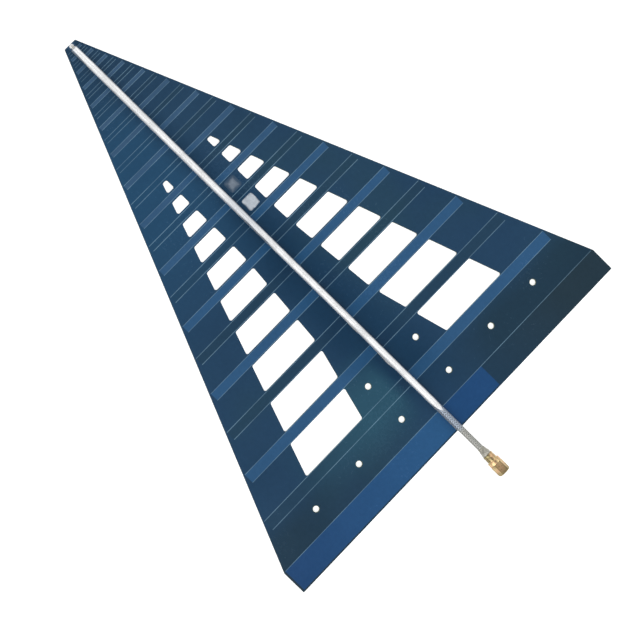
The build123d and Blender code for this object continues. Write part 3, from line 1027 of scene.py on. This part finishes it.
def added(piece: Piece, finish: Finish, slot: str, *stands_for: str, body: str = "antenna") -> None:
    """Dresses a new piece, seats it on its body and lets it stand for the plain ones.

    Args:
        piece: The new piece, in place.
        finish: Its finish.
        slot: A material slot's name; not used.
        stands_for: Plain pieces of the part that it replaces.
        body: The body that carries it.
    """
    dress(piece, finish)
    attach(piece, body)
    if stands_for:
        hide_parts(*stands_for)


@dataclass
class Board:
    """Board with its copper, lacquer films and print, all as the part has them."""

    print_reach: float = 4.6 * MM
    eyelet_half_width: float = 10 * MM

    def dress(self, nodes: dict[str, Piece]) -> None:
        """Gives each piece of the board its finish.

        Args:
            nodes: The part's own pieces by name.
        """
        low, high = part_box("print_ink")
        middle = (low.y + high.y) / 2
        centres = ((high.x - self.print_reach, middle), (low.x + self.print_reach, middle))
        finishes = {
            "laminate": CutLaminate("cut_laminate"),
            "top_copper": EtchedCopper("etched_copper"),
            "bottom_copper": EtchedCopper("etched_copper_below", bare_half_width=0.0),
            "top_solder_mask": BlueLacquer("blue_lacquer_top", face=Face.UPPER),
            "bottom_solder_mask": BlueLacquer("blue_lacquer_bottom", face=Face.LOWER),
            "print_ink": WornPrint("worn_print", centres=centres),
            "feed_eyelet": EtchedCopper("tinned_eyelet", bare_half_width=self.eyelet_half_width),
        }
        for name, finish in finishes.items():
            dress(nodes[name], finish)


@dataclass
class Cable:
    """Tinned cable on the centre strip: braid, solder and the feed point at the tip.

    Thin spots are middle, length and what the solder lacks on the left and on the right; broad
    spots are middle, length and what its right foot gains, all along the cable in millimetres.
    """

    axis_height: float
    strip_top: float
    radius: float = 2.1 * MM
    soak: float = 0.01 * MM
    dome_spread: float = 1.15
    dome_dent: float = 0.04
    dome_rim: float = 0.85
    dome_bulge: float = 0.8
    dome_lumps: tuple[float, float] = (1.4, 2.5)
    carriers: int = 12
    wires: int = 5
    wire_relief: float = 0.035 * MM
    weave_relief: float = 0.055 * MM
    weave_sharpness: float = 1.8
    weave_lift: float = 0.8
    tube_tuck: float = 2.2
    bundle_start: float = 0.01
    bundle_fill: float = 0.93
    bundle_crown: float = 0.7
    bundle_back: float = -1.6
    lay_length: float = 19 * MM
    bare_margin: float = 9.0 * MM
    overlap: float = 1.0 * MM
    collar_lead: float = 1.2 * MM
    solder_face: float = 0.55 * MM
    solder_taper: float = 11 * MM
    taper_power: float = 0.6
    full_hold: float = 0.98
    solder_start: float = 1.2 * MM
    solder_hold: float = math.radians(97)
    solder_back: float = 0.8
    flank: float = 0.82
    flank_from: float = 0.8
    flank_over: float = 0.17
    least_foot: float = 0.05 * MM
    least_coat: float = 0.02
    least_drop: float = 0.02
    coat: float = 0.10
    coat_waves: Rows = ((0.10, 0.09, 0.8, 3.1), (0.05, 0.42, 1.7, 9.4), (0.02, 1.7, 4.0, 2.2))
    foot: float = 2.17
    foot_waves: Rows = ((0.22, 0.055, 5.0, 1.3), (0.12, 0.3, 3.0, 7.7))
    hold_waves: Rows = ((0.07, 0.12, 4.0, 6.6), (0.02, 0.4, 2.0, 2.9))
    thin_spots: Rows = ((-297.0, 26.0, 0.5, 0.5), (-242.0, 12.0, 0.12, 0.12), (-143.0, 18.0, 0.4, 0.5),
                        (-127.0, 16.0, 0.26, 0.42), (-28.0, 11.0, 0.1, 0.3), (-2.0, 14.0, 0.14, 0.14),
                        (22.0, 12.0, 0.2, 0.2))
    broad_spots: tuple[Triple, ...] = ((-49.0, 13.0, 0.5), (-17.0, 9.0, 0.8))

    def braid(self) -> Piece:
        """Builds the braid: a plain tube, thinner where woven wires cover it.

        Returns:
            The braid.
        """
        low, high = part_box("cable_braid")
        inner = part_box("cable_dielectric")[1].y
        core = self.radius - self.tube_tuck * self.weave_relief
        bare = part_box("boom_solder")[1].x - self.bare_margin
        soaked = self.radius - self.soak
        return turned("braid_tube", self.axis_height, [(low.x, inner), (low.x, soaked), (bare, soaked),
                      (bare + self.overlap, core), (high.x, core), (high.x, inner)])

    def weave(self, start: float, end: float) -> Piece:
        """Weaves flat bundles of wire both ways round the cable.

        Args:
            start: Where the weave begins.
            end: Where it ends.

        Returns:
            The woven wires.
        """
        bm = bmesh.new()
        length = end - start
        turns = length / self.lay_length
        crossings = 2 * self.carriers * turns
        bundle_angle = self.bundle_fill * math.pi / self.carriers
        mean = self.radius - self.weave_relief

        def bundle(way: int, carrier: int, share: float, side: float) -> Vector:
            """Point on a bundle's skin: its crown for the first part of side, then its back.

            Args:
                way: 1 or -1, the way it winds.
                carrier: Its number.
                share: Share along the bundle.
                side: Share around it.

            Returns:
                The point.
            """
            on_crown = side < self.bundle_crown
            across = there_and_back(side, self.bundle_crown)
            crown = abs(math.sin(across * self.wires * math.pi)) if on_crown else self.bundle_back
            first = FULL_TURN * (carrier + self.bundle_start) / self.carriers
            angle = way * (first + FULL_TURN * turns * share) + (2 * across - 1) * bundle_angle
            over = math.cos(math.pi * (crossings * share / 2 + carrier)) * way
            lift = self.weave_relief * math.tanh(self.weave_sharpness * over) / math.tanh(self.weave_sharpness)
            reach = mean + lift * self.weave_lift + crown * self.wire_relief
            return around(start + length * share, reach, angle, self.axis_height)

        for way in (1, -1):
            for carrier in range(self.carriers):
                rolled(bm, int(crossings * 4), 2 * self.wires + 4, partial(bundle, way, carrier))
        return settled(bm, "braid_weave", 60)

    def spared(self, at: float, side: float) -> float:
        """How far round the cable the solder reaches, as a share of its usual reach.

        Args:
            at: Place along the cable in millimetres.
            side: 1 for the left flank, -1 for the right one.

        Returns:
            A share up to 1.
        """
        thin = sum((left if side > 0 else right) * bell(at, middle, length)
                   for middle, length, left, right in self.thin_spots)
        return min(1.0, self.full_hold - thin + ripples(self.hold_waves, at, side))

    def solder(self) -> Piece:
        """Builds the uneven solder that holds the cable along the strip.

        Returns:
            The solder.
        """
        low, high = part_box("boom_solder")

        def skin(share: float, side: float) -> Vector:
            """Point on the solder's skin, over the cable for most of side and then back below it.

            Args:
                share: Share along the cable.
                side: Share around the solder.

            Returns:
                The point.
            """
            x = between(share, low.x, high.x)
            at = x / MM
            below = side > self.solder_back
            lean = 2 * there_and_back(side, self.solder_back) - 1
            sign = 1.0 if lean > 0 else -1.0
            kept = eased((high.x - x) / self.solder_taper) ** self.taper_power * self.spared(at, sign)
            begun = eased((x - low.x) / self.solder_start)
            foot = self.foot + ripples(self.foot_waves, at, sign)
            if sign < 0:
                foot += sum(extra * bell(at, middle, width) for middle, width, extra in self.broad_spots)
            foot = between(begun, self.radius / MM, foot) * MM
            if below:
                return Vector((x, lean * max(foot * kept, self.least_foot), self.strip_top))
            coat = max(self.coat + ripples(self.coat_waves, at, lean), self.least_coat)
            reach = self.radius + coat * MM * begun * kept
            if abs(lean) <= self.flank:
                return around(x, reach, lean / self.flank * self.solder_hold * kept, self.axis_height)
            edge = around(x, reach, self.solder_hold * kept, self.axis_height)
            grip = max(eased((kept - self.flank_from) / self.flank_over), self.least_drop)
            drop = (abs(lean) - self.flank) / (1 - self.flank) * grip
            point = edge.lerp(Vector((x, foot, self.strip_top)), (eased(drop) + drop) / 2)
            return Vector((x, sign * point.y, point.z))

        bm = bmesh.new()
        rolled(bm, int((high.x - low.x) / self.solder_face), 40, skin)
        return settled(bm, "solder_bead", 60)

    def dome(self, name: str, node: str, down: bool) -> Piece:
        """Builds a solder spot of the feed point as a soft uneven cap.

        Args:
            name: Name of the piece.
            node: The plain spot that gives the size.
            down: True for the spot below the board.

        Returns:
            The solder spot.
        """
        low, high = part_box(node)
        middle = (low.x + high.x) / 2
        radius = (high.y - low.y) / 2 * (1.0 if down else self.dome_spread)
        base, crest = (high.z, low.z) if down else (low.z, high.z)

        def cap(share: float, side: float) -> Vector:
            """Point on the cap, from its crest to its rim and back under to the middle.

            Args:
                share: Share from crest to underside.
                side: Share of a turn.

            Returns:
                The point.
            """
            turn = FULL_TURN * side
            fall = share / self.dome_rim * math.pi / 2
            reach, height = radius * math.sin(fall), max(math.cos(fall), 0.0) ** self.dome_bulge
            if share > self.dome_rim:
                reach, height = radius * (1 - share) / (1 - self.dome_rim), 0.0
            spread, pace = self.dome_lumps
            dent = 1 + self.dome_dent * lump(spread * math.cos(turn), spread * math.sin(turn), pace * share)
            return Vector((middle + reach * math.cos(turn) * dent, reach * math.sin(turn) * dent,
                           between(height, base, crest)))

        bm = bmesh.new()
        rolled(bm, 28, 36, cap)
        return settled(bm, name, 50)

    def build(self, nodes: dict[str, Piece]) -> None:
        """Builds and dresses the cable's pieces.

        Args:
            nodes: The part's own pieces by name.
        """
        board_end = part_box("laminate")[1].x
        tinned = TinnedBraid("tinned_braid", board_end=board_end, axis_height=self.axis_height)
        soaked = replace(tinned, name="soaked_braid", carriers=self.carriers, lay_length=self.lay_length)
        solder = BrightSolder("bright_solder")
        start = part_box("boom_solder")[1].x - self.bare_margin
        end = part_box("plug_solder")[0].x + self.collar_lead + self.overlap
        added(self.braid(), soaked, "tinned_braid", "cable_braid")
        added(self.weave(start, end), tinned, "tinned_braid")
        added(self.solder(), solder, "solder", "boom_solder")
        for side, down in (("top", False), ("bottom", True)):
            node = f"feed_solder_{side}"
            added(self.dome(f"feed_cap_{side}", node, down), solder, "solder", node)
        dress(nodes["cable_dielectric"], SoftWhite("fluoropolymer_core"))
        dress(nodes["cable_core"], SpringWire("silvered_core"))


@dataclass
class Plug:
    """Screw-on coaxial plug: body, nut with thread, insulator, pin, ring and gasket.

    The collar's lumps are size, pace along and spread around; its drop is placed and sized along
    the axis in millimetres and then around it in radians.
    """

    axis_height: float
    cable_radius: float = 2.1 * MM
    barrel_radius: float = 3.5 * MM
    barrel_length: float = 5.25 * MM
    waist_start: float = 1.5 * MM
    waist_slope: float = 0.2 * MM
    waist_length: float = 0.4 * MM
    waist_depth: float = 0.18 * MM
    flange_length: float = 2.75 * MM
    bearing_radius: float = 2.75 * MM
    bearing_length: float = 2.9 * MM
    groove_radius: float = 2.3 * MM
    groove_start: float = 2.0 * MM
    groove_length: float = 0.6 * MM
    tube_wall: float = 0.27 * MM
    corner: float = 0.14 * MM
    across_flats: float = 8.0 * MM
    nut_chamfer: float = 0.5 * MM
    nut_corner: float = 0.08 * MM
    rear_slope: float = 1.2
    front_chamfer: float = 0.625 * MM
    front_slope: float = 0.62
    lip_radius: float = 2.8 * MM
    lip_length: float = 1.5 * MM
    chamber_radius: float = 3.5 * MM
    chamber_length: float = 1.35 * MM
    thread_minor: float = 2.85 * MM
    thread_depth: float = 0.34 * MM
    thread_pitch: float = 0.7056 * MM
    thread_end: float = 0.6 * MM
    mouth: float = 0.4 * MM
    mouth_slope: float = 1.1
    collar_lead: float = 1.2 * MM
    collar_bore: float = 0.8
    collar_gap: float = 0.1 * MM
    collar_lumps: tuple[Triple, ...] = ((0.16, 5, 1.4), (0.08, 14, 4))
    collar_swell: Triple = (0.15, 0.6, 0.3)
    drop_height: float = 0.42
    drop_at: tuple[float, float] = (-2.2, -0.1)
    drop_size: tuple[float, float] = (1.2, 0.42)
    pin_radius: float = 0.46 * MM
    nose_length: float = 0.8
    gasket_corner: float = 0.16 * MM
    bead_corner: float = 0.1 * MM

    def body(self) -> Piece:
        """Turns the plug's body with its rounded edges.

        Returns:
            The body.
        """
        low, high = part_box("plug_body")
        flange_radius = (high.y - low.y) / 2
        insulator_low, insulator_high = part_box("plug_insulator")
        chamber = insulator_high.y
        tube = chamber + self.tube_wall
        flange_rear = low.x + self.barrel_length
        flange_front = flange_rear + self.flange_length
        groove = flange_front + self.groove_start
        shoulder = flange_front + self.bearing_length
        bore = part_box("cable_dielectric")[1].y
        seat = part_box("cable_braid")[1].x
        waist = self.barrel_radius - self.waist_depth
        waist_rear = low.x + self.waist_start
        waist_front = waist_rear + self.waist_slope + self.waist_length
        profile = [
            (low.x, self.cable_radius), (low.x, self.barrel_radius),
            (waist_rear, self.barrel_radius), (waist_rear + self.waist_slope, waist),
            (waist_front, waist), (waist_front + self.waist_slope, self.barrel_radius),
            (flange_rear, self.barrel_radius), (flange_rear, flange_radius),
            (flange_front, flange_radius), (flange_front, self.bearing_radius),
            (groove, self.bearing_radius), (groove, self.groove_radius),
            (groove + self.groove_length, self.groove_radius), (groove + self.groove_length, self.bearing_radius),
            (shoulder, self.bearing_radius), (shoulder, tube),
            (high.x, tube), (high.x, chamber),
            (insulator_low.x, chamber), (insulator_low.x, bore),
            (seat, bore), (seat, self.cable_radius),
        ]
        return turned("plug_shell", self.axis_height, profile, self.corner)

    def nut(self) -> Piece:
        """Builds the coupling nut: hexagon with turned chamfers and a cut inner thread.

        Returns:
            The nut.
        """
        low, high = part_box("coupling_nut")
        flat = self.across_flats / 2
        point = flat / math.cos(math.pi / 6)
        rear_end, front_end = low.x + self.nut_chamfer, high.x - 2 * self.nut_chamfer
        lip_end = low.x + self.lip_length
        thread_start = lip_end + self.chamber_length

        def hexagon(angle: float, x: float) -> float:
            """Radius of the nut's outside, with soft corners and the chamfers' cones.

            Args:
                angle: Angle about the axis.
                x: Place along it.

            Returns:
                The radius.
            """
            off_flat = (angle + math.pi / 6) % (math.pi / 3) - math.pi / 6
            sided = min(flat / math.cos(off_flat), point - self.nut_corner)
            rear = point - self.nut_chamfer + (x - low.x) * self.rear_slope
            front = point - self.front_chamfer + (high.x - x) * self.front_slope
            return min(sided, rear, front)

        def thread(angle: float, x: float) -> float:
            """Radius of the inner thread, opened at the mouth and run out at its end.

            Args:
                angle: Angle about the axis.
                x: Place along it.

            Returns:
                The radius.
            """
            phase = (x / self.thread_pitch - angle / FULL_TURN) % 1.0
            cut = self.thread_depth * (1 - abs(2 * phase - 1)) * eased((x - thread_start) / self.thread_end)
            opened = max(0.0, self.mouth - (high.x - x)) * self.mouth_slope
            return self.thread_minor + max(cut, opened)

        outside = [low.x + self.nut_chamfer * n / 6 for n in range(7)]
        outside += [between(n / 12, rear_end, front_end) for n in range(1, 12)]
        outside += [high.x - 2 * self.nut_chamfer * (1 - n / 10) for n in range(11)]
        threads = int((high.x - thread_start) / self.thread_pitch * 10)
        inside = [high.x - (high.x - thread_start) * n / threads for n in range(threads + 1)]
        stations = [(x, hexagon) for x in outside] + [(x, thread) for x in inside]
        stations += [(thread_start, self.chamber_radius), (lip_end, self.chamber_radius),
                     (lip_end, self.lip_radius), (low.x, self.lip_radius)]

        def skin(share: float, side: float) -> Vector:
            """Point on the nut's closed skin.

            Args:
                share: Share of the way through the stations.
                side: Share of a turn.

            Returns:
                The point.
            """
            x, rule = stations[round(share * len(stations)) % len(stations)]
            angle = FULL_TURN * side
            return around(x, rule(angle, x) if callable(rule) else rule, angle, self.axis_height)

        bm = bmesh.new()
        rolled(bm, len(stations), 144, skin)
        return settled(bm, "coupling_nut_threaded", 32)

    def collar(self) -> Piece:
        """Builds the solder where the braid enters the plug, lumpy and swelling to the barrel.

        Returns:
            The solder collar.
        """
        low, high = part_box("plug_solder")
        full = (high.y - low.y) / 2 - self.cable_radius - self.collar_gap
        start = low.x + self.collar_lead

        def skin(share: float, side: float) -> Vector:
            """Point on the collar's closed skin: its outside, then its bore.

            Args:
                share: Share along the outside and back through the bore.
                side: Share of a turn.

            Returns:
                The point.
            """
            turn = FULL_TURN * side
            run = there_and_back(share, self.collar_bore)
            x = between(run, start, high.x)
            if share > self.collar_bore:
                return around(x, self.cable_radius, turn, self.axis_height)
            bump = sum(size * lump(run * pace, spread * math.cos(turn), spread * math.sin(turn))
                       for size, pace, spread in self.collar_lumps)
            off_top = (turn + math.pi) % FULL_TURN - math.pi
            away = [(at - middle) / size for at, middle, size
                    in zip(((x - high.x) / MM, off_top), self.drop_at, self.drop_size)]
            drop = self.drop_height * math.exp(-away[0] ** 2 - away[1] ** 2)
            begins, rises_over, first = self.collar_swell
            swell = full * between(eased((run - begins) / rises_over), first, 1.0)
            rise = (swell + (bump + drop) * MM) * eased(run / begins)
            return around(x, self.cable_radius + max(rise, 0.0), turn, self.axis_height)

        bm = bmesh.new()
        rolled(bm, 60, 64, skin)
        return settled(bm, "collar_solder", 60)

    def pin(self) -> Piece:
        """Turns the centre contact with its rounded nose.

        Returns:
            The contact.
        """
        low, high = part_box("plug_contact")
        outer = (high.y - low.y) / 2
        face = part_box("plug_insulator")[1].x
        nose = [(high.x - self.pin_radius * self.nose_length * (1 - math.sin(a)), self.pin_radius * math.cos(a))
                for a in (math.radians(15 * n) for n in range(6))]
        profile = [(low.x, 0.0), (low.x, outer), (face, outer), (face, self.pin_radius), *nose, (high.x, 0.0)]
        return turned("centre_contact", self.axis_height, profile, 0.0, 48)

    def ring(self, name: str, node: str, inner: float, rounding: float) -> Piece:
        """Turns a plain ring with rounded corners as long and wide as a node.

        Args:
            name: Name of the piece.
            node: The plain ring that gives the size.
            inner: Its inner radius.
            rounding: Width of the rounding on its corners.

        Returns:
            The ring.
        """
        low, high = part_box(node)
        outer = (high.y - low.y) / 2
        profile = [(low.x, inner), (low.x, outer), (high.x, outer), (high.x, inner)]
        return turned(name, self.axis_height, profile, rounding, 64)

    def build(self, nodes: dict[str, Piece]) -> None:
        """Builds and dresses the plug's pieces.

        Args:
            nodes: The part's own pieces by name.
        """
        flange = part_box("plug_body")[0].x + self.barrel_length
        nut_low, nut_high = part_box("coupling_nut")
        gold = GoldPlate("gold_plate", right_side_shade=0.6, dull_from=flange - 1.2 * MM, dull_to=flange - 0.1 * MM)
        nut_gold = GoldPlate("gold_plate_nut", clean=0.46, dull_from=nut_high.x, dull_to=nut_low.x + 1.5 * MM,
                             facets=6, axis_height=self.axis_height, pitch=0.09 * MM, polish=0.24)
        # The collar's tin is a darker copy of the bright solder, standing for painted shade, with painted flank
        # shade on its sides.
        tin = BrightSolder("collar_tin_shaded", bright=paint(228, 225, 214), dull=paint(168, 165, 154),
                           flank_shade=paint(150, 148, 138), flank_shade_start=(3.0 * MM, 3.0 * MM), polish=0.24,
                           metal=(0.35, 0.75))
        pin_gold = GoldPlate("gold_plate_pin", clean=0.6, dull_share=0.0)
        gasket_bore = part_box("plug_insulator")[1].y + self.tube_wall
        bead_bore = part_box("plug_contact")[1].y
        added(self.body(), gold, "gold_plate", "plug_body")
        added(self.nut(), nut_gold, "gold_plate", "coupling_nut", body="nut")
        added(self.collar(), tin, "solder", "plug_solder")
        added(self.pin(), pin_gold, "gold_plate", "plug_contact")
        added(self.ring("soft_gasket", "plug_gasket", gasket_bore, self.gasket_corner),
              SealRubber("seal_rubber"), "red_rubber", "plug_gasket")
        added(self.ring("white_bead", "plug_insulator", bead_bore, self.bead_corner),
              SoftWhite("white_bead"), "white_insulator", "plug_insulator")
        dress(nodes["plug_snap_ring"], SpringWire("spring_bronze", paint(176, 136, 78), paint(112, 84, 48)))


@dataclass
class Studio:
    """White floor, soft lamps and the photograph's camera; lamps are name, place, size and power."""

    floor_height: float
    floor_size: float = 12.0
    aim: Triple = (-0.1, 0.0, 0.0)
    camera_place: Triple = (-0.13811, -0.16548, 1.26963)
    camera_turn: Triple = (2.6695, -7.0557, 44.1394)
    lens: float = 112.5
    nearest: float = 0.01
    sky_level: float = 0.62
    floor_paint: Colour = paint(226, 226, 226)
    floor_glow: float = 0.68
    mirrored_glow: float = 0.2
    sky_levels: tuple[tuple[float, float], ...] = ((0.0, 0.4), (0.3, 0.5), (0.5, 1.0), (0.75, 0.9),
                                                   (0.93, 0.26), (1.0, 0.24))
    lamps: list[tuple[str, Triple, float, float]] = field(default_factory=lambda: [
        ("key", (0.55, -0.95, 1.15), 1.7, 13.0),
        ("fill", (-0.9, 0.75, 0.9), 1.6, 5.0),
        ("rim", (0.9, 0.8, 0.55), 1.2, 3.5),
    ])

    def floor(self) -> None:
        """Lays a wide floor that the camera and mirrors see as white, with the part's shadow."""
        bm = bmesh.new()
        for vertex in bmesh.ops.create_grid(bm, x_segments=1, y_segments=1, size=self.floor_size)["verts"]:
            vertex.co.z = self.floor_height
        plane = settled(bm, "studio_floor")
        made = bpy.data.materials.new("white_floor")
        w = emptied(made)
        camera, mirrored = w.rays()
        strength = mirrored * self.mirrored_glow + camera * self.floor_glow
        matt = w.made("BsdfDiffuse", {"Color": self.floor_paint})
        glow = w.made("Emission", {"Color": WHITE, "Strength": strength})
        w.add("OutputMaterial", {"Surface": w.made("AddShader", {0: matt, 1: glow})})
        plane.data.materials.append(made)
        plane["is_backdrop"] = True

    def sky(self) -> None:
        """Wraps the scene in soft light: white to the camera, in bands of grey to mirrors."""
        world = bpy.data.worlds.new("soft_studio")
        bpy.context.scene.world = world
        w = emptied(world)
        up = w.made("TexCoord", {}, "Generated").parts()[2]
        ramp = w.add("ValToRGB", {0: up})
        stops = ramp.color_ramp.elements
        for position, _ in self.sky_levels[2:]:
            stops.new(position)
        for stop, (position, level) in zip(stops, self.sky_levels):
            stop.position = position
            stop.color = (level, level, level, 1.0)
        camera, glossy = w.rays()
        seen = glossy * Field(w, ramp.outputs[0]) + (1.0 - glossy) * self.sky_level
        values = {"Color": WHITE, "Strength": (1.0 - camera) * seen + camera}
        w.add("OutputWorld", {"Surface": w.made("Background", values)})

    def light(self) -> None:
        """Hangs the soft lamps, each facing the board."""
        for name, place, size, power in self.lamps:
            lamp = bpy.data.lights.new(name, "AREA")
            lamp.size = size
            lamp.energy = power
            holder = placed(name, lamp)
            holder.location = place
            holder.rotation_euler = (Vector(self.aim) - holder.location).to_track_quat("-Z", "Y").to_euler()

    def camera(self) -> None:
        """Sets the camera at the photograph's viewing angle."""
        data = bpy.data.cameras.new("photo_camera")
        data.lens = self.lens
        data.clip_start = self.nearest
        holder = placed("photo_camera", data)
        holder.location = self.camera_place
        holder.rotation_euler = [math.radians(angle) for angle in self.camera_turn]
        bpy.context.scene.camera = holder

    def build(self) -> None:
        """Sets the whole studio up."""
        for part in (self.floor, self.sky, self.light, self.camera):
            part()
        bpy.context.scene.view_settings.view_transform = "Standard"


def main() -> None:
    """Loads the part, dresses it and sets the studio."""
    logging.basicConfig(level=logging.INFO, format="%(message)s")
    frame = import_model()
    nodes = frame["nodes"]
    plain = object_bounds()
    laminate_low, laminate_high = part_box("laminate")
    braid_low, braid_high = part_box("cable_braid")
    axis_height = (braid_low.z + braid_high.z) / 2
    strip_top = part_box("top_copper")[1].z
    DipoleLaw(laminate_low.x, laminate_high.x).build()
    SharedEffects.build()
    Board().dress(nodes)
    Cable(axis_height, strip_top).build(nodes)
    Plug(axis_height).build(nodes)
    Studio(plain[0].z).build()


if __name__ == "__main__":
    main()
